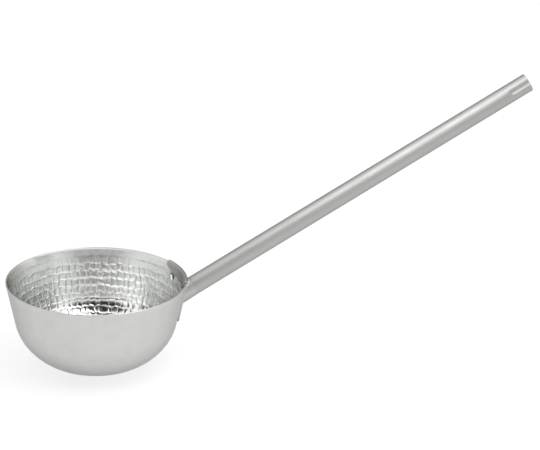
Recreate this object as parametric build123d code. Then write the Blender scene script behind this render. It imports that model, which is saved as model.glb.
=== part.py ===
from build123d import *
import math
import os

# An all-aluminium water dipper: a pressed bowl, a bracket riveted over its rim, and a pipe handle.
# Millimetres. The origin is the centre of the bowl's flat foot, +Z is up, and the handle rises
# towards +X in the XZ plane.

# Bowl: one pressed shell, round in plan. Its outline runs from the flat foot up a round bottom,
# round a tighter knuckle and then straight up the flared wall to the rim.
bowl_radius = 75.0
bowl_sheet = 1.3
wall_flare_angle = 12.0
wall_slant = 36.0
knuckle_radius = 43.5
knuckle_angle = 27.0
foot_radius = 16.0

# Bracket: one plate that follows the wall outside, folds over the rim and ends in a lip inside.
bracket_sheet = 1.3
bracket_clearance = 0.05
plate_half_width = 28.0
plate_straight = 27.0
plate_length = 41.5
plate_corner = 8.0
plate_shoulder = 3.5
lip_half_width = 24.5
lip_depth = 7.4
lip_sag_radius = 90.0
lip_corner = 5.0

# Neck: the collar drawn out of the plate on the handle's axis. Its foot flares a little, and its
# outer end is square and flush with the handle.
neck_drop = 20.6
neck_length = 15.0
neck_wall = 1.2
neck_flare = 0.45
neck_fillet = 3.0

# Handle: one pipe, with a reduced spigot in the neck and a crease pressed into its far end.
handle_rise_angle = 27.6
handle_radius = 8.0
handle_wall = 1.0
handle_length = 348.0
handle_edge = 0.3
seam_clearance = 0.05
spigot_length = 7.8
spigot_clearance = 0.05
crease_length = 16.5
crease_depth = 3.2
crease_half_angle = 42.0
crease_bearing = 24.0
crease_round = 0.6
crease_shoulder = 0.8
pipe_closing_angle = 60.0

# Rivets: solid, with a domed head inside the bowl and a flatter set end outside.
rivet_shank_radius = 2.0
rivet_clearance = 0.05
rivet_head_radius = 3.4
rivet_head_height = 1.5
rivet_tail_radius = 3.2
rivet_tail_height = 1.1
upper_rivet_spread = 16.0
upper_rivet_drop = 10.2
lower_rivet_drop = 36.9

# One overrun serves every cutting and trimming tool.
overrun = 10.0


def sine(angle):
    return math.sin(math.radians(angle))


def cosine(angle):
    return math.cos(math.radians(angle))


# The wall rises at this angle from level, and the knuckle starts where the bottom has turned
# this far. The bottom's radius is what is left over once the rim's size is reached.
wall_rise = 90 - wall_flare_angle
bottom_turn = wall_rise - knuckle_angle
wall_run = wall_slant * cosine(wall_rise)
knuckle_run = knuckle_radius * (sine(wall_rise) - sine(bottom_turn))
bottom_radius = (bowl_radius - foot_radius - wall_run - knuckle_run) / sine(bottom_turn)


def on_arc(centre, radius, turn):
    """The point of an arc where the outline has turned by this angle from level."""
    return centre + Vector(sine(turn), -cosine(turn)) * radius


bottom_centre = Vector(foot_radius, bottom_radius)
knuckle_centre = on_arc(bottom_centre, bottom_radius - knuckle_radius, bottom_turn)
wall_foot = on_arc(knuckle_centre, knuckle_radius, wall_rise)
up_the_wall = Vector(cosine(wall_rise), sine(wall_rise))
into_the_bowl = Vector(-sine(wall_rise), cosine(wall_rise))
wall_top = wall_foot + up_the_wall * wall_slant


def wall_lines(inset):
    """Wall, knuckle, bottom and foot as one outline, this far inside the bowl's outer face."""
    top = wall_top + into_the_bowl * inset
    foot = wall_foot + into_the_bowl * inset
    knuckle = knuckle_radius - inset
    bottom = bottom_radius - inset
    knuckle_middle = on_arc(knuckle_centre, knuckle, bottom_turn + knuckle_angle / 2)
    joint = on_arc(bottom_centre, bottom, bottom_turn)
    heel = on_arc(bottom_centre, bottom, 0)
    return [
        Line(top, foot),
        ThreePointArc(foot, knuckle_middle, joint),
        ThreePointArc(joint, on_arc(bottom_centre, bottom, bottom_turn / 2), heel),
        Line(heel, (0, heel.Y)),
    ]


def over_the_rim(inset):
    """The half circle over the rim, concentric with the sheet's rounded edge."""
    middle = wall_top + into_the_bowl * (bowl_sheet / 2)
    radius = bowl_sheet / 2 - inset
    return ThreePointArc(
        middle - into_the_bowl * radius,
        middle + up_the_wall * radius,
        middle + into_the_bowl * radius,
    )


def turned(lines):
    """A closed outline of radius and height, turned once round from the side away from the handle."""
    return Rot(0, 0, 180) * revolve(Plane.XZ * make_face(lines), Axis.Z)


def wall_plane(drop, bearing=0):
    """A plane on the outer face, this far down the sheet from the rim: Y runs up it, Z out of it."""
    round_the_knuckle = max(drop - wall_slant, 0) / knuckle_radius
    rise = wall_rise - math.degrees(round_the_knuckle)
    spot = on_arc(knuckle_centre, knuckle_radius, rise) + up_the_wall * max(wall_slant - drop, 0)
    across = Vector(0, 1, 0).rotate(Axis.Z, bearing)
    outward = Vector(sine(rise), 0, -cosine(rise)).rotate(Axis.Z, bearing)
    return Plane(Vector(spot.X, 0, spot.Y).rotate(Axis.Z, bearing), across, outward)


def through_wall(outline):
    """A flat outline at the rim, made a block that reaches out of the wall on both sides."""
    return wall_plane(0) * extrude(outline, overrun, both=True)


# The handle's own plane: Z runs out along the pipe from where its axis meets the wall.
handle_direction = Vector(cosine(handle_rise_angle), 0, sine(handle_rise_angle))
handle_plane = Plane(wall_plane(neck_drop).origin, Vector(0, 1, 0), handle_direction)


def on_axis(profile):
    """A closed outline of radius and length along the pipe, turned round the handle's axis."""
    return handle_plane * revolve(Plane.XZ * make_face(Polyline(*profile, close=True)), Axis.Z)


def rod(radius, start, end):
    """A round bar on the handle's axis, from one length along the pipe to another."""
    return on_axis([(0, start), (radius, start), (radius, end), (0, end)])


def plate_outline():
    """Straight sides under rounded shoulders, closed below by two corners and a shallow arc."""
    corner_x = plate_half_width - plate_corner
    sag = plate_length - plate_straight - plate_corner
    lift = (corner_x**2 - sag**2) / (2 * sag)
    lower_radius = lift + sag + plate_corner
    lower_centre = Vector(0, lower_radius - plate_length)
    corner_centre = Vector(corner_x, -plate_straight)
    meeting = corner_centre + (corner_centre - lower_centre).normalized() * plate_corner
    bend = corner_centre + ((meeting - corner_centre).normalized() + Vector(1, 0)).normalized() * (
        plate_corner
    )
    shoulder_top = Vector(plate_half_width - plate_shoulder, 0)
    shoulder_side = Vector(plate_half_width, -plate_shoulder)
    shoulder_middle = shoulder_top + Vector(sine(45), cosine(45) - 1) * plate_shoulder
    above = Vector(shoulder_top.X, overrun)
    half = [
        Line((0, overrun), above),
        Line(above, shoulder_top),
        ThreePointArc(shoulder_top, shoulder_middle, shoulder_side),
        Line(shoulder_side, (plate_half_width, -plate_straight)),
        ThreePointArc((plate_half_width, -plate_straight), bend, meeting),
    ]
    mirrored = [line.mirror(Plane.YZ) for line in half]
    lower = ThreePointArc(meeting, (0, -plate_length), (-meeting.X, meeting.Y))
    return make_face(half + mirrored + [lower])


def lip_outline():
    """Straight sides and a shallow arc below, with rounded corners between them."""
    edge_drop = lip_sag_radius - math.sqrt(lip_sag_radius**2 - lip_half_width**2)
    side = Vector(lip_half_width, -lip_depth + edge_drop)
    above = Vector(lip_half_width, overrun)
    face = make_face(
        [
            Line(above, side),
            ThreePointArc(side, (0, -lip_depth), (-side.X, side.Y)),
            Line((-side.X, side.Y), (-above.X, above.Y)),
            Line((-above.X, above.Y), above),
        ]
    )
    return fillet(face.vertices().sort_by(Axis.Y)[:2], lip_corner)


def shell_between(outer, inner):
    """The bowl's outline as a thin shell between two insets, open at the rim."""
    rim_line = Line(wall_top + into_the_bowl * outer, wall_top + into_the_bowl * inner)
    return turned(wall_lines(outer) + wall_lines(inner) + [rim_line, Line((0, outer), (0, inner))])


def filled_to_rim(inset):
    """Everything inside the bowl's outline at this inset, up to a flat lid at the rim."""
    rim_point = wall_top + into_the_bowl * inset
    lid = Line(rim_point, (0, rim_point.Y))
    return turned(wall_lines(inset) + [lid, Line((0, rim_point.Y), (0, inset))])


def bowl_blank():
    """The pressed shell before it is drilled, its sheet fully rounded at the rim."""
    axis_line = Line((0, 0), (0, bowl_sheet))
    return turned(wall_lines(0) + wall_lines(bowl_sheet) + [over_the_rim(0), axis_line])


def hook_shell(front, back):
    """The fold over the rim and the leg inside the bowl, as one ring."""
    leg_back = bowl_sheet - back
    leg_front = bowl_sheet - front
    rim_line = Line(wall_top + into_the_bowl * front, wall_top + into_the_bowl * back)
    end_line = Line(wall_foot + into_the_bowl * leg_back, wall_foot + into_the_bowl * leg_front)
    legs = [
        Line(wall_top + into_the_bowl * leg, wall_foot + into_the_bowl * leg)
        for leg in (leg_back, leg_front)
    ]
    return turned(legs + [rim_line, end_line, over_the_rim(front), over_the_rim(back)])


def bracket_blank():
    """Plate, fold, lip and neck in one sheet, before the rivet holes."""
    back = -bracket_clearance
    front = back - bracket_sheet
    plate = shell_between(front, back) & through_wall(plate_outline())
    root_radius = handle_radius + 2 * neck_flare
    collar = [(0, -neck_length), (root_radius, -neck_length)]
    collar += [(handle_radius, neck_length), (0, neck_length)]
    neck = on_axis(collar) - filled_to_rim(back)
    body = plate + neck
    root = new_edges(plate, neck, combined=body)
    body = body.fillet(neck_fillet, root)
    body += hook_shell(front, back) & through_wall(lip_outline())
    return body - rod(handle_radius - neck_wall, -neck_length, neck_length + overrun)


def crease_tool(growth):
    """A blunt V along the pipe's end, with a round run-out, grown by this much on every side.

    X is the radius at which the crease is pressed and Z runs along the pipe.
    """
    tip = crease_round + growth
    centre = handle_radius - crease_depth + crease_round
    flank = Vector(-cosine(crease_half_angle), sine(crease_half_angle))
    half_turn = (90 - crease_half_angle) / 2
    touch = Vector(-centre + tip * flank.Y, -tip * flank.X)
    outer = touch + flank * handle_radius
    bottom = Vector(tip - centre, 0)
    half = make_face(
        [
            Line((outer.X, 0), bottom),
            ThreePointArc(bottom, (tip * cosine(half_turn) - centre, tip * sine(half_turn)), touch),
            Line(touch, outer),
            Line(outer, (outer.X, 0)),
        ]
    )
    run = extrude(half + half.mirror(Plane.XZ), crease_length + overrun)
    return run + revolve(half, Axis.X)


def handle_pipe():
    """The creased pipe with its spigot, made as an outside less an inside.

    The outside is turned so that its surface closes on itself away from the crease and the sides.
    """
    seam = neck_length + seam_clearance
    spigot_end = seam - spigot_length
    spigot_radius = handle_radius - neck_wall - spigot_clearance
    pipe_axis = Axis(handle_plane.origin, handle_direction)
    outside = rod(handle_radius, seam, handle_length).rotate(pipe_axis, pipe_closing_angle)
    place = handle_plane * Pos(0, 0, handle_length - crease_length) * Rot(0, 0, -crease_bearing)
    tool = place * crease_tool(0)
    pressed = outside - tool
    cut_edges = new_edges(outside, tool, combined=pressed)
    shoulders = cut_edges.filter_by(lambda edge: edge.length > handle_radius)
    pressed = pressed.fillet(crease_shoulder, shoulders)
    end_face = pressed.faces().sort_by(pipe_axis)[-1]
    pressed = pressed.fillet(handle_edge, end_face.edges())
    bore = rod(handle_radius - handle_wall, seam + handle_wall, handle_length + overrun)
    bore -= place * crease_tool(handle_wall)
    spigot = rod(spigot_radius, spigot_end, seam + handle_wall / 2)
    spigot_bore = rod(spigot_radius - handle_wall, spigot_end - overrun, seam + overrun)
    return pressed + spigot - bore - spigot_bore


def rivet_place(drop, spread):
    """The plane of a rivet: below the rim by the drop, to the side of the handle by the spread."""
    return wall_plane(drop, math.degrees(math.asin(spread / wall_plane(drop).origin.X)))


def dome(radius, height, seat):
    """The arc of a domed end, from the axis to its edge on the seat; a minus height hangs down."""
    ball = (radius**2 + height**2) / (2 * height)
    half = radius / 2
    depth = ball - math.copysign(math.sqrt(ball**2 - half**2), height)
    return ThreePointArc((0, seat + height), (half, seat + height - depth), (radius, seat))


def rivet():
    """Head inside the bowl, shank through both sheets, and the set end on the bracket.

    The head's edge touches the hollow face of the wall, so its seat stands off by the hollow.
    """
    hollow = rivet_head_radius**2 / (2 * (knuckle_radius - bowl_sheet))
    inside = -bowl_sheet - hollow
    outside = bracket_clearance + bracket_sheet
    outline = [
        Line((0, inside - rivet_head_height), (0, outside + rivet_tail_height)),
        dome(rivet_tail_radius, rivet_tail_height, outside),
        Line((rivet_tail_radius, outside), (rivet_shank_radius, outside)),
        Line((rivet_shank_radius, outside), (rivet_shank_radius, inside)),
        Line((rivet_shank_radius, inside), (rivet_head_radius, inside)),
        dome(rivet_head_radius, -rivet_head_height, inside),
    ]
    return revolve(Plane.XZ * make_face(outline), Axis.Z)


rivet_places = {
    "rivet_front": rivet_place(upper_rivet_drop, -upper_rivet_spread),
    "rivet_back": rivet_place(upper_rivet_drop, upper_rivet_spread),
    "rivet_lower": rivet_place(lower_rivet_drop, 0),
}
bowl = bowl_blank()
bracket = bracket_blank()
pieces = {}
for name, place in rivet_places.items():
    hole = place * Cylinder(rivet_shank_radius + rivet_clearance, overrun)
    bowl -= hole
    bracket -= hole
    pieces[name] = place * rivet()
pieces |= {"bowl": bowl, "bracket": bracket, "handle": handle_pipe()}

os.makedirs("parts", exist_ok=True)
for name, piece in pieces.items():
    piece.label = name
    export_step(piece, f"parts/{name}.step")
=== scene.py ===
import math

import bpy
import numpy as np
from mathutils import Matrix, Vector


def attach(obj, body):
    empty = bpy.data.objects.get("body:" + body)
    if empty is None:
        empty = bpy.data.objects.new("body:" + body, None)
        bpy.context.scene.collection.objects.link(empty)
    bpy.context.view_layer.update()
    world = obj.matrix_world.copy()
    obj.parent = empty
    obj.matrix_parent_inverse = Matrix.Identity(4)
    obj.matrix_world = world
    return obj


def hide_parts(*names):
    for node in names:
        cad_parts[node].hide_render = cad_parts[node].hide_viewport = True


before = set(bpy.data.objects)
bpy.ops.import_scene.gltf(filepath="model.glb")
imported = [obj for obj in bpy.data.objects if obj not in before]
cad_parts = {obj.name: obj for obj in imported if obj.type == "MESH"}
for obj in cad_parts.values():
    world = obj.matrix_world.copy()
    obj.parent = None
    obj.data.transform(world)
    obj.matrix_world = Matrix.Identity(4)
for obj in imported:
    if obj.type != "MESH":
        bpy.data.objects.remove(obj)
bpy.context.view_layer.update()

# The bowl
# One disc of aluminium sheet pressed into a deep bowl, spun smooth outside and rounded at its rim.
# Its inside is planished: rings of hammer marks run from a smooth band under the rim to the middle.
mm = 0.001
bowl_radius = 75.0 * mm
bowl_sheet = 1.3 * mm
wall_rise = math.radians(78.0)
bottom_turn = math.radians(51.0)
wall_slant = 36.0 * mm
knuckle_radius = 43.5 * mm
foot_radius = 16.0 * mm

# The bottom's arc has what the rim's radius leaves once wall, knuckle and foot are taken off.
wall_run = wall_slant * math.cos(wall_rise)
knuckle_run = knuckle_radius * (math.sin(wall_rise) - math.sin(bottom_turn))
bottom_radius = (bowl_radius - foot_radius - wall_run - knuckle_run) / math.sin(bottom_turn)
knuckle_length = knuckle_radius * (wall_rise - bottom_turn)
bottom_length = bottom_radius * bottom_turn
sheet_length = wall_slant + knuckle_length + bottom_length + foot_radius


def bowl_outline(drop, inset):
    """Radius and height of the sheet at this distance down from the rim, this far inside.

    The outer face runs down the straight wall, round the knuckle's arc, round the bottom's arc and
    in along the flat foot. The inset moves the point along the face's normal, into the bowl.
    """
    wall = np.minimum(drop, wall_slant)
    knuckle = np.clip(drop - wall_slant, 0, knuckle_length) / knuckle_radius
    bottom = np.clip(drop - wall_slant - knuckle_length, 0, bottom_length) / bottom_radius
    foot = np.clip(drop - (sheet_length - foot_radius), 0, foot_radius)
    slope = wall_rise - knuckle - bottom
    knuckle_end = wall_rise - knuckle
    bottom_end = bottom_turn - bottom
    radius = bowl_radius - wall * math.cos(wall_rise) - foot
    radius -= knuckle_radius * (math.sin(wall_rise) - np.sin(knuckle_end))
    radius -= bottom_radius * (math.sin(bottom_turn) - np.sin(bottom_end))
    height = (wall_slant - wall) * math.sin(wall_rise)
    height += knuckle_radius * (math.cos(bottom_turn) - np.cos(knuckle_end))
    height += bottom_radius * (1 - np.cos(bottom_end))
    return radius - inset * np.sin(slope), height + inset * np.cos(slope)


columns = 600
outside_rings = 22
pole_radius = 2.0 * mm
rim_rings = 7
band_rings = 5
mark_rows_share = [0, 0.06, 0.18, 0.38, 0.62, 0.82, 0.94]
mark_width = 5.6 * mm
mark_height = 6.1 * mm
mark_depth = 0.21 * mm
mark_flatness = 8.0
mark_depth_spread = 0.2
mark_tilt_spread = 0.3
first_mark = 7.0 * mm
full_marks = 17.0 * mm
most_ring_shift = 2
most_border_shift = 1
border_crowding = 0.7
border_wander = 0.55 * mm
waves_down = range(9, 80, 5)
waves_round = range(9, 60, 5)
random = np.random.default_rng(21)


def random_wave(turn, waves, size):
    """A closed random line round the bowl: a sum of whole waves of like size and random phase."""
    line = np.zeros_like(turn)
    for count in waves:
        line += random.normal() * np.sin(count * turn + random.uniform(0, 2 * np.pi))
    return line * size / math.sqrt(len(waves) / 2)


def hammer_marks():
    """Drops, turns and depths of the inside's grid, ring by ring.

    Each ring is divided into about square marks, whose borders lie on grid lines. A mark is a dish
    with a flat middle: its depth is (1 - |2u - 1|^p)(1 - |2v - 1|^p), with u and v its own shares
    round and down. A sine crowds the grid lines towards the borders, u = e - c sin(2 pi e) / 2 pi
    for the even share e, so that borders stay crisp, and where two rings meet their lines are
    averaged. Borders wander by random waves, and depth and tilt differ from mark to mark.
    """
    turn = np.linspace(0, 2 * np.pi, columns, endpoint=False)
    marked_length = sheet_length - first_mark - mark_height / 2
    rings = round(marked_length / mark_height)
    pitch = marked_length / rings
    drops, turns, depths = [], [], []
    lead = 0
    upper = np.zeros(columns)
    upper_side = np.zeros(columns)
    upper_turn = turn
    for ring in range(rings):
        top = first_mark + ring * pitch
        radius = float(bowl_outline(top + pitch / 2, bowl_sheet)[0])
        count = round(2 * np.pi * radius / mark_width)
        lead += random.integers(-most_ring_shift, most_ring_shift + 1)
        jitter = random.integers(-most_border_shift, most_border_shift + 1, count)
        borders = np.sort(np.round(np.arange(count) * columns / count).astype(int) + jitter)
        shifted = (np.arange(columns) - lead) % columns
        mark = (np.searchsorted(borders, shifted, side="right") - 1) % count
        width = (borders[(mark + 1) % count] - borders[mark]) % columns
        even = ((shifted - borders[mark]) % columns) / width
        u = even - border_crowding * np.sin(2 * np.pi * even) / (2 * np.pi)
        crowded = turn + (u - even) * width * 2 * np.pi / columns
        depth = random.uniform(1 - mark_depth_spread, 1 + mark_depth_spread, count)[mark]
        tilt_round = random.normal(0, mark_tilt_spread, count)[mark]
        tilt_down = random.normal(0, mark_tilt_spread, count)[mark]
        lower = random_wave(turn, waves_down, border_wander)
        lower_side = random_wave(turn, waves_round, border_wander)
        fade = np.clip((top + pitch / 2 - first_mark) / (full_marks - first_mark), 0, 1)
        for v in mark_rows_share:
            across = 1 - np.abs(2 * u - 1) ** mark_flatness
            down = 1 - np.abs(2 * v - 1) ** mark_flatness
            tilted = 1 + tilt_round * (2 * u - 1) + tilt_down * (2 * v - 1)
            drops.append(top + v * pitch + (1 - v) * upper + v * lower)
            side = (1 - v) * upper_side + v * lower_side
            line = crowded if v > 0 else (upper_turn + crowded) / 2
            turns.append(line + side / max(radius, foot_radius))
            depths.append(mark_depth * fade * depth * across * down * tilted)
        upper, upper_side, upper_turn = lower, lower_side, crowded
    return np.array(drops), np.array(turns), np.array(depths)


def bowl_surface():
    """The whole skin as rings: up the outside, over the rim's half circle and down the inside."""
    turn = np.linspace(0, 2 * np.pi, columns, endpoint=False)
    outside = np.linspace(sheet_length - pole_radius, 0, outside_rings)
    half_circle = np.linspace(0, np.pi, rim_rings + 2)[1:-1]
    band = np.linspace(0, first_mark, band_rings, endpoint=False)
    plain_drop = np.concatenate([outside, -bowl_sheet / 2 * np.sin(half_circle), band])
    rim_inset = bowl_sheet / 2 * (1 - np.cos(half_circle))
    band_inset = np.full_like(band, bowl_sheet)
    plain_inset = np.concatenate([np.zeros_like(outside), rim_inset, band_inset])
    mark_drop, mark_turn, mark_depths = hammer_marks()
    drop = np.concatenate([np.repeat(plain_drop[:, None], columns, 1), mark_drop])
    turns = np.concatenate([np.repeat(turn[None], len(plain_drop), 0), mark_turn])
    plain_insets = np.repeat(plain_inset[:, None], columns, 1)
    inset = np.concatenate([plain_insets, bowl_sheet - mark_depths])
    radius, height = bowl_outline(drop, inset)
    points = np.stack([radius * np.cos(turns), radius * np.sin(turns), height], -1)
    return points, drop


def closed_rings(points):
    """Quads between neighbouring rings, and fans from the first and last ring to their middles."""
    rows, around = points.shape[:2]
    index = np.arange(rows * around).reshape(rows, around)
    beside = np.roll(index, -1, 1)
    quads = np.stack([index[:-1], beside[:-1], beside[1:], index[1:]], -1).reshape(-1, 4)
    poles = rows * around + np.arange(2)
    first_fan = np.stack([beside[0], index[0], np.full(around, poles[0])], -1)
    last_fan = np.stack([index[-1], beside[-1], np.full(around, poles[1])], -1)
    vertices = np.vstack([points.reshape(-1, 3), points[0].mean(0), points[-1].mean(0)])
    return vertices, quads, np.vstack([first_fan, last_fan])


def add_piece(name, vertices, quads, triangles):
    """A smooth mesh object from numpy points, quads and triangles, filled with foreach_set."""
    corners = np.concatenate([quads.ravel(), triangles.ravel()]).astype(np.int32)
    sizes = np.concatenate([np.full(len(quads), 4), np.full(len(triangles), 3)])
    starts = np.concatenate([[0], np.cumsum(sizes)[:-1]]).astype(np.int32)
    mesh = bpy.data.meshes.new(name)
    mesh.vertices.add(len(vertices))
    mesh.vertices.foreach_set("co", vertices.astype(np.float32).ravel())
    mesh.loops.add(len(corners))
    mesh.loops.foreach_set("vertex_index", corners)
    mesh.polygons.add(len(sizes))
    mesh.polygons.foreach_set("loop_start", starts)
    mesh.polygons.foreach_set("use_smooth", np.ones(len(sizes), bool))
    mesh.update(calc_edges=True)
    piece = bpy.data.objects.new(name, mesh)
    bpy.context.scene.collection.objects.link(piece)
    return piece


def linear(hex_colour):
    """An sRGB hex colour as linear red, green, blue and alpha, by the standard's own curve."""
    shares = [int(hex_colour[i : i + 2], 16) / 255 for i in (1, 3, 5)]
    return [s / 12.92 if s <= 0.04045 else ((s + 0.055) / 1.055) ** 2.4 for s in shares] + [1]


def node(tree, kind, fields=None, inputs=None):
    """Adds a shader node, sets its fields, and gives each named input its constant or its link."""
    made = tree.nodes.new(kind)
    for field, value in (fields or {}).items():
        setattr(made, field, value)
    for socket, value in (inputs or {}).items():
        if isinstance(value, bpy.types.NodeSocket):
            tree.links.new(value, made.inputs[socket])
        else:
            made.inputs[socket].default_value = value
    return made


def bare_metal(name, colour, edge_tint, finish):
    """A bare metal: colour and edge tint on the shader, roughness and normal from finish(tree)."""
    material = bpy.data.materials.new(name)
    material.use_nodes = True
    tree = material.node_tree
    shader = tree.nodes["Principled BSDF"]
    shader.inputs["Metallic"].default_value = 1
    shader.inputs["Base Color"].default_value = linear(colour)
    shader.inputs["Specular Tint"].default_value = linear(edge_tint)
    roughness, normal = finish(tree)
    tree.links.new(roughness, shader.inputs["Roughness"])
    tree.links.new(normal, shader.inputs["Normal"])
    return material


# Noise keeps mostly between these two values, so patches take this span of it.
noise_low = 0.3
noise_high = 0.7
smoothly = {"interpolation_type": "SMOOTHSTEP"}


def patchy(tree, place, size, detail, smoothest, roughest):
    """A roughness that drifts between two values in soft patches of this size."""
    inputs = {"Vector": place, "Scale": 1 / size, "Detail": detail}
    cloud = node(tree, "ShaderNodeTexNoise", None, inputs).outputs["Fac"]
    inputs = {"Value": cloud, "From Min": noise_low, "From Max": noise_high}
    inputs |= {"To Min": smoothest, "To Max": roughest}
    return node(tree, "ShaderNodeMapRange", smoothly, inputs).outputs["Result"]


def scored(tree, place, size, detail, depth):
    """A normal from lines, grain or dents of this size and depth."""
    inputs = {"Vector": place, "Scale": 1 / size, "Detail": detail}
    relief = node(tree, "ShaderNodeTexNoise", None, inputs).outputs["Fac"]
    inputs = {"Height": relief, "Distance": depth}
    return node(tree, "ShaderNodeBump", None, inputs).outputs["Normal"]


def along_the_sheet(tree, squeeze):
    """Object coordinates with the distance down the sheet for height, squeezed round the bowl."""
    place = node(tree, "ShaderNodeTexCoord").outputs["Object"]
    split = node(tree, "ShaderNodeSeparateXYZ", None, {"Vector": place}).outputs
    drop = node(tree, "ShaderNodeAttribute", {"attribute_name": "drop"}).outputs["Fac"]
    flat = node(tree, "ShaderNodeCombineXYZ", None, {"X": split["X"], "Y": split["Y"]})
    inputs = {"Vector": flat.outputs["Vector"], "Scale": squeeze}
    level = node(tree, "ShaderNodeVectorMath", {"operation": "SCALE"}, inputs)
    down = node(tree, "ShaderNodeCombineXYZ", None, {"Z": drop})
    inputs = {0: level.outputs["Vector"], 1: down.outputs["Vector"]}
    return node(tree, "ShaderNodeVectorMath", {"operation": "ADD"}, inputs).outputs["Vector"]


# Real lines and grain are about 0.1 mm apart. They are drawn coarser here, so that they show.
line_spacing = 0.5 * mm
line_depth = 0.012 * mm
line_detail = 3
spun_squeeze = 0.06
planished_squeeze = 0.3
ghost_size = 6.0 * mm
ghost_detail = 2
ghost_weight = 16.0


def spun_satin(tree):
    """Fine lines round the bowl from the spinning tool, over faint ghosts of the marks inside."""
    place = node(tree, "ShaderNodeTexCoord").outputs["Object"]
    lines_place = along_the_sheet(tree, spun_squeeze)
    inputs = {"Vector": lines_place, "Scale": 1 / line_spacing, "Detail": line_detail}
    lines = node(tree, "ShaderNodeTexNoise", None, inputs).outputs["Fac"]
    inputs = {"Vector": place, "Scale": 1 / ghost_size, "Detail": ghost_detail}
    ghosts = node(tree, "ShaderNodeTexNoise", None, inputs).outputs["Fac"]
    inputs = {0: ghosts, 1: ghost_weight, 2: lines}
    height = node(tree, "ShaderNodeMath", {"operation": "MULTIPLY_ADD"}, inputs).outputs["Value"]
    inputs = {"Height": height, "Distance": line_depth}
    normal = node(tree, "ShaderNodeBump", None, inputs).outputs["Normal"]
    return patchy(tree, place, size=9 * mm, detail=4, smoothest=0.3, roughest=0.46), normal


def planished_polish(tree):
    """A hammered face is bright: low roughness, a little higher in patches, and a fine grain."""
    place = node(tree, "ShaderNodeTexCoord").outputs["Object"]
    roughness = patchy(tree, place, size=4 * mm, detail=3, smoothest=0.13, roughest=0.22)
    grain_place = along_the_sheet(tree, planished_squeeze)
    return roughness, scored(tree, grain_place, line_spacing, line_detail, line_depth)


points, drop = bowl_surface()
vertices, quads, fans = closed_rings(points)
bowl = add_piece("bowl_skin", vertices, quads, fans)
bowl_drop = np.concatenate([drop.ravel(), [sheet_length, sheet_length]])
bowl.data.attributes.new("drop", "FLOAT", "POINT").data.foreach_set("value", bowl_drop)

# Outside: satin aluminium as spun, a soft even grey. Inside: polished by the hammer, so it
# mirrors light and dark in every mark.
spun = bare_metal("spun_satin_aluminium", "#CBCCCA", "#CCCCCC", spun_satin)
planished = bare_metal("planished_aluminium", "#E9EAE8", "#F0F0F0", planished_polish)
bowl.data.materials.append(spun)
bowl.data.materials.append(planished)
inside = np.zeros(len(quads) + len(fans), np.int32)
inside[(outside_rings + rim_rings) * columns : len(quads)] = 1
inside[len(quads) + columns :] = 1
bowl.data.polygons.foreach_set("material_index", inside)
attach(bowl, "root")
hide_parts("bowl")

# The bracket
# One pressed aluminium sheet, 1.3 mm thick: plate outside, fold over the rim and lip inside. Its
# neck is drawn out of the plate, and three rivets hold it to the bowl.
grain_size = 0.6 * mm


def pressed_satin(tree):
    """Sheet as rolled and pressed: a dull even sheen with faint clouds and a fine grain."""
    place = node(tree, "ShaderNodeTexCoord").outputs["Object"]
    roughness = patchy(tree, place, size=7 * mm, detail=3, smoothest=0.42, roughest=0.5)
    return roughness, scored(tree, place, grain_size, line_detail, line_depth)


def dress(name, material):
    """Gives a node of the solid model its finish in place of what it came with."""
    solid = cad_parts[name]
    solid.data.materials.clear()
    solid.data.materials.append(material)


dress("bracket", bare_metal("pressed_satin_aluminium", "#B8B9B7", "#808080", pressed_satin))

# The handle
# One length of drawn aluminium pipe, 16 mm across, with a spigot pressed into the bracket's neck.
# Its open far end is rounded, and a blunt crease is pressed along the side that faces forward.
pipe_radius = 8.0 * mm
pipe_wall = 1.0 * mm
pipe_length = 348.0 * mm
pipe_edge = 0.3 * mm
pipe_start = 15.05 * mm
spigot_length = 7.8 * mm
spigot_radius = 6.75 * mm
neck_drop = 20.6 * mm
handle_rise = math.radians(27.6)
crease_length = 17.0 * mm
crease_depth = 1.5 * mm
crease_slope = math.tan(math.radians(29.0))
crease_bearing = math.radians(21.0)
crease_round = 0.4 * mm
crease_shoulder = 0.6 * mm

# Rings stand close at the square start, where the shading turns, and along the creased end.
start_rows_share = [0, 0.0005, 0.002]
straight_rows_share = np.linspace(0.1, 0.9, 6, endpoint=False)
creased_rows_share = np.linspace(0.9, 1, 66)
edge_rings = 5
pipe_columns = 160


def pipe_profile():
    """Lengths and radii of the pipe's closed section: outside, rounded end, bore and spigot."""
    edge = pipe_length - pipe_edge
    along = np.concatenate([start_rows_share, straight_rows_share, creased_rows_share])
    body = pipe_start + along * (edge - pipe_start)
    back = body[-2:0:-1]
    quarter = np.linspace(0, np.pi / 2, edge_rings + 1)[1:]
    bore = pipe_radius - pipe_wall
    spigot_bore = spigot_radius - pipe_wall
    spigot_end = pipe_start - spigot_length
    lengths = [body, edge + pipe_edge * np.sin(quarter), edge + pipe_edge * np.cos(quarter), back]
    radii = [np.full_like(body, pipe_radius), pipe_radius - pipe_edge * (1 - np.cos(quarter))]
    radii += [bore + pipe_edge * (1 - np.sin(quarter)), np.full_like(back, bore)]
    lengths += [[pipe_start + pipe_wall] * 2, [spigot_end] * 2, [pipe_start]]
    radii += [[bore, spigot_bore], [spigot_bore, spigot_radius], [spigot_radius]]
    return np.concatenate(lengths), np.concatenate(radii)


def creased(length, out, side):
    """How far out from the axis a point of the pipe lies once the crease is pressed.

    The crease is a blunt V: depth below the pipe's top plus slope times the distance from its
    line, which past the crease's start is the distance from that start. The lower of pipe and V
    is kept, and a square root rounds both the V's bottom and the shoulder where they meet.
    """
    past = np.maximum(pipe_length - crease_length - length, 0)
    off_line = np.sqrt(side**2 + past**2 + crease_round**2) - crease_round
    inward = pipe_radius - np.hypot(out, side)
    v = pipe_radius - crease_depth + crease_slope * off_line - inward
    return (out + v - np.sqrt((out - v) ** 2 + crease_shoulder**2)) / 2


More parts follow.
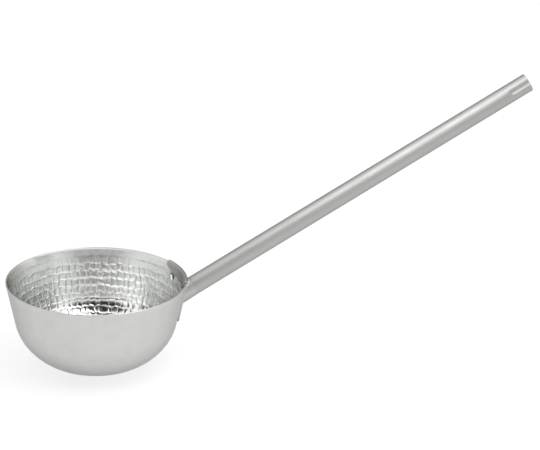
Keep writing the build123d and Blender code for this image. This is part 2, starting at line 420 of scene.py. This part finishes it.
lengthways_squeeze = 0.03


def drawn_pipe(tree):
    """Pipe as drawn and brushed: a satin that is even all along, in lines that run lengthways."""
    place = node(tree, "ShaderNodeTexCoord").outputs["Object"]
    squeeze = (lengthways_squeeze, 1, 1)
    inputs = {"Vector": place, "Rotation": (0, handle_rise, 0), "Scale": squeeze}
    lengthways = node(tree, "ShaderNodeMapping", None, inputs).outputs["Vector"]
    roughness = patchy(tree, place, size=20 * mm, detail=3, smoothest=0.46, roughest=0.52)
    return roughness, scored(tree, lengthways, line_spacing, line_detail, line_depth)


neck_radius, neck_height = bowl_outline(neck_drop, 0)
pipe_way = np.array([math.cos(handle_rise), 0, math.sin(handle_rise)])
pipe_above = np.array([-math.sin(handle_rise), 0, math.cos(handle_rise)])
towards_front = np.array([0, -1, 0])
crease_way = math.sin(crease_bearing) * pipe_above + math.cos(crease_bearing) * towards_front
side_way = np.cross(pipe_way, crease_way)
length, radius = (line[:, None] for line in pipe_profile())
turn = np.linspace(0, 2 * np.pi, pipe_columns, endpoint=False)[None]
side = radius * np.sin(turn)
out = creased(length + 0 * turn, radius * np.cos(turn), side)
pipe_points = np.array([neck_radius, 0, neck_height]) + length[..., None] * pipe_way
pipe_points = pipe_points + out[..., None] * crease_way + side[..., None] * side_way
ring = np.arange(length.size * pipe_columns).reshape(-1, pipe_columns)
beside = np.roll(ring, -1, 1)
quads = np.stack([ring, beside, np.roll(beside, -1, 0), np.roll(ring, -1, 0)], -1).reshape(-1, 4)
handle = add_piece("handle_pipe", pipe_points.reshape(-1, 3), quads, np.zeros((0, 3), int))
drawn = bare_metal("drawn_aluminium_pipe", "#B2B3B1", "#B0B0B0", drawn_pipe)
handle.data.materials.append(drawn)
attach(handle, "root")
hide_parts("handle")

# The rivets
# Three solid aluminium rivets: two beside the neck under the rim and one below it. Each has a
# domed head inside the bowl and an end set flat on the bracket.
head_middle = "#F4F4F2"
# Painted shade: the head's edge colour is a dark grey that stands for the shade where the head
# meets the sheet.
head_edge_shade = "#767674"
dent_size = 2.5 * mm
dent_depth = 0.05 * mm
dent_detail = 2

# The painted shade on the head's edge starts, and is full, where the face turns this far from the
# way to the bowl's axis, as cosines.
shade_start = 0.86
shade_full = 0.72


def set_cold(tree):
    """A rivet's head, burnished bright by the tool that set it, darkened towards its edge by
    painted shade where it meets the sheet, and with soft dents.
    """
    place = node(tree, "ShaderNodeTexCoord").outputs["Object"]
    inputs = {0: place, 1: (-1, -1, 0)}
    to_axis = node(tree, "ShaderNodeVectorMath", {"operation": "MULTIPLY"}, inputs)
    inputs = {0: to_axis.outputs["Vector"]}
    inward = node(tree, "ShaderNodeVectorMath", {"operation": "NORMALIZE"}, inputs)
    facing = node(tree, "ShaderNodeTexCoord").outputs["Normal"]
    inputs = {0: facing, 1: inward.outputs["Vector"]}
    cosine = node(tree, "ShaderNodeVectorMath", {"operation": "DOT_PRODUCT"}, inputs)
    # Painted shade: the colour darkens from the head's middle to its edge, where the dome turns
    # down to the sheet.
    inputs = {"Value": cosine.outputs["Value"], "From Min": shade_full, "From Max": shade_start}
    inputs |= {"To Min": 1, "To Max": 0}
    edge = node(tree, "ShaderNodeMapRange", smoothly, inputs).outputs["Result"]
    inputs = {0: edge, 6: linear(head_middle), 7: linear(head_edge_shade)}
    colour = node(tree, "ShaderNodeMix", {"data_type": "RGBA"}, inputs).outputs[2]
    tree.links.new(colour, tree.nodes["Principled BSDF"].inputs["Base Color"])
    roughness = patchy(tree, place, dent_size, dent_detail, smoothest=0.1, roughest=0.16)
    return roughness, scored(tree, place, dent_size, dent_detail, dent_depth)


rivet_metal = bare_metal("cold_set_aluminium", head_middle, "#B4B4B4", set_cold)
for name in ("rivet_front", "rivet_back", "rivet_lower"):
    dress(name, rivet_metal)

# The camera
# It stands in front and to the left of the handle's plane, a little above the bowl, with a long
# lens. The pixels place the middle of the rim in a picture of 540 by 450.
photo_width = 540
photo_height = 450
focal_pixels = 3000.0
camera_distance = 2.49
camera_azimuth = math.radians(18.0)
camera_elevation = math.radians(21.25)
camera_roll = math.radians(0.97)
rim_centre = Vector((0, 0, 74.2 * mm))
rim_centre_x = 95.99
rim_centre_y = 280.80

level = Vector((math.cos(camera_azimuth), -math.sin(camera_azimuth), 0))
ahead = Vector((math.sin(camera_azimuth), math.cos(camera_azimuth), 0))
forward = ahead * math.cos(camera_elevation) - Vector((0, 0, math.sin(camera_elevation)))
upright = level.cross(forward)
right = level * math.cos(camera_roll) + upright * math.sin(camera_roll)
up = upright * math.cos(camera_roll) - level * math.sin(camera_roll)
metres_per_pixel = camera_distance / focal_pixels
lens = bpy.data.cameras.new("camera")
lens.sensor_width = 36
lens.lens = focal_pixels / photo_width * lens.sensor_width
camera = bpy.data.objects.new("camera", lens)
camera.location = rim_centre - forward * camera_distance
camera.location -= right * (rim_centre_x - photo_width / 2) * metres_per_pixel
camera.location += up * (rim_centre_y - photo_height / 2) * metres_per_pixel
camera.rotation_euler = Matrix((right, up, -forward)).transposed().to_euler()
bpy.context.scene.collection.objects.link(camera)
bpy.context.scene.camera = camera

# The floor
# A broad sheet of matt white paper. Its glow lifts the paper to white where it shows in the
# picture or in the metal, and the object's own soft shadow stays on it.
paper_colour = "#989898"
paper_roughness = 0.9
paper_glow = 0.72
floor_reach = 4.0
corners = [(-floor_reach, -floor_reach, 0), (floor_reach, -floor_reach, 0)]
corners += [(floor_reach, floor_reach, 0), (-floor_reach, floor_reach, 0)]
floor_mesh = bpy.data.meshes.new("floor")
floor_mesh.from_pydata(corners, [], [(0, 1, 2, 3)])
floor = bpy.data.objects.new("floor", floor_mesh)
bpy.context.scene.collection.objects.link(floor)
paper = bpy.data.materials.new("matt_white_paper")
paper.use_nodes = True
tree = paper.node_tree
rays = node(tree, "ShaderNodeLightPath").outputs
shown = rays["Is Camera Ray"]
for kind in ("Is Glossy Ray", "Is Transmission Ray"):
    fields = {"operation": "ADD", "use_clamp": True}
    shown = node(tree, "ShaderNodeMath", fields, {0: shown, 1: rays[kind]}).outputs["Value"]
inputs = {0: shown, 1: paper_glow}
glow = node(tree, "ShaderNodeMath", {"operation": "MULTIPLY"}, inputs).outputs["Value"]
shader = tree.nodes["Principled BSDF"]
shader.inputs["Base Color"].default_value = linear(paper_colour)
shader.inputs["Roughness"].default_value = paper_roughness
shader.inputs["Emission Color"].default_value = linear("#FFFFFF")
tree.links.new(glow, shader.inputs["Emission Strength"])
floor_mesh.materials.append(paper)

# The light
# A pale studio, dimmer beyond the object, with one softbox over the handle on the camera's side.
# High behind the camera is a dark patch, which the metal mirrors as its darkest marks. In the
# picture itself the air is white.
far_wall = 0.31
near_walls = 1.12
far_horizon = 1.0
near_horizon = 0.45
ceiling = 1.2
dark_room = 0.02
picture_air = 1.0
dark_elevation = math.radians(41.0)
dark_turn = math.radians(-4.0)
dark_squeeze = 0.42
softbox_width = 0.32
softbox_length = 0.44
softbox_power = 0.9
softbox_place = (0.19, -0.2, 0.48)

# Where one brightness turns into the next: as cosines of the angle from the camera's side or
# from the dark patch, and as sines of an elevation or of the angle off the patch's middle.
walls_turn = (-0.95, 0.15)
horizon_turn = (0.0, 0.9)
patch_side = (0.0, 0.3)
walls_rise = (math.sin(math.radians(2.0)), math.sin(math.radians(12.0)))
ceiling_rise = (math.sin(math.radians(30.0)), math.sin(math.radians(52.0)))
patch_edge = (math.sin(math.radians(13.0)), math.sin(math.radians(19.0)))

world = bpy.data.worlds.new("studio")
bpy.context.scene.world = world
world.use_nodes = True
tree = world.node_tree
tree.nodes.clear()
way = node(tree, "ShaderNodeTexCoord").outputs["Generated"]
height = node(tree, "ShaderNodeSeparateXYZ", None, {"Vector": way}).outputs["Z"]
dark_side = level * math.sin(dark_turn) - ahead * math.cos(dark_turn)
dark_middle = dark_side * math.cos(dark_elevation) + Vector((0, 0, math.sin(dark_elevation)))
dark_top = Vector((0, 0, math.cos(dark_elevation))) - dark_side * math.sin(dark_elevation)
dark_aside = dark_top.cross(dark_middle) * dark_squeeze
shares = []
for end in (-ahead, dark_middle, dark_aside, dark_top):
    fields = {"operation": "DOT_PRODUCT"}
    shares.append(node(tree, "ShaderNodeVectorMath", fields, {0: way, 1: end}).outputs["Value"])
behind, facing, aside, above = shares
flat = node(tree, "ShaderNodeCombineXYZ", None, {"X": aside, "Y": above}).outputs["Vector"]
off_middle = node(tree, "ShaderNodeVectorMath", {"operation": "LENGTH"}, {0: flat}).outputs["Value"]

ramps = []
for value, (low, high), (start, end) in (
    (behind, walls_turn, (far_wall, near_walls)),
    (behind, horizon_turn, (far_horizon, near_horizon)),
    (height, walls_rise, (0, 1)),
    (height, ceiling_rise, (0, 1)),
    (off_middle, patch_edge, (1, 0)),
    (facing, patch_side, (0, 1)),
):
    inputs = {"Value": value, "From Min": low, "From Max": high, "To Min": start, "To Max": end}
    ramps.append(node(tree, "ShaderNodeMapRange", smoothly, inputs).outputs["Result"])
walls, horizon, over_horizon, over_walls, in_patch, patch_half = ramps

# Each layer covers what came before it by its share: first its share, then its brightness.
inputs = {0: in_patch, 1: patch_half}
dark = node(tree, "ShaderNodeMath", {"operation": "MULTIPLY"}, inputs).outputs["Value"]
shown = node(tree, "ShaderNodeLightPath").outputs["Is Camera Ray"]
studio = horizon
for share, brightness in (
    (over_horizon, walls),
    (over_walls, ceiling),
    (dark, dark_room),
    (shown, picture_air),
):
    inputs = {0: share, 2: studio, 3: brightness}
    studio = node(tree, "ShaderNodeMix", {"data_type": "FLOAT"}, inputs).outputs[0]
inputs = {"Color": linear("#FFFFFF"), "Strength": studio}
background = node(tree, "ShaderNodeBackground", None, inputs).outputs["Background"]
node(tree, "ShaderNodeOutputWorld", None, {"Surface": background})

softbox = bpy.data.lights.new("softbox", "AREA")
softbox.shape = "RECTANGLE"
softbox.size = softbox_width
softbox.size_y = softbox_length
softbox.energy = softbox_power
lamp = bpy.data.objects.new("softbox", softbox)
lamp.location = softbox_place
bpy.context.scene.collection.objects.link(lamp)
bpy.context.scene.view_settings.view_transform = "Standard"
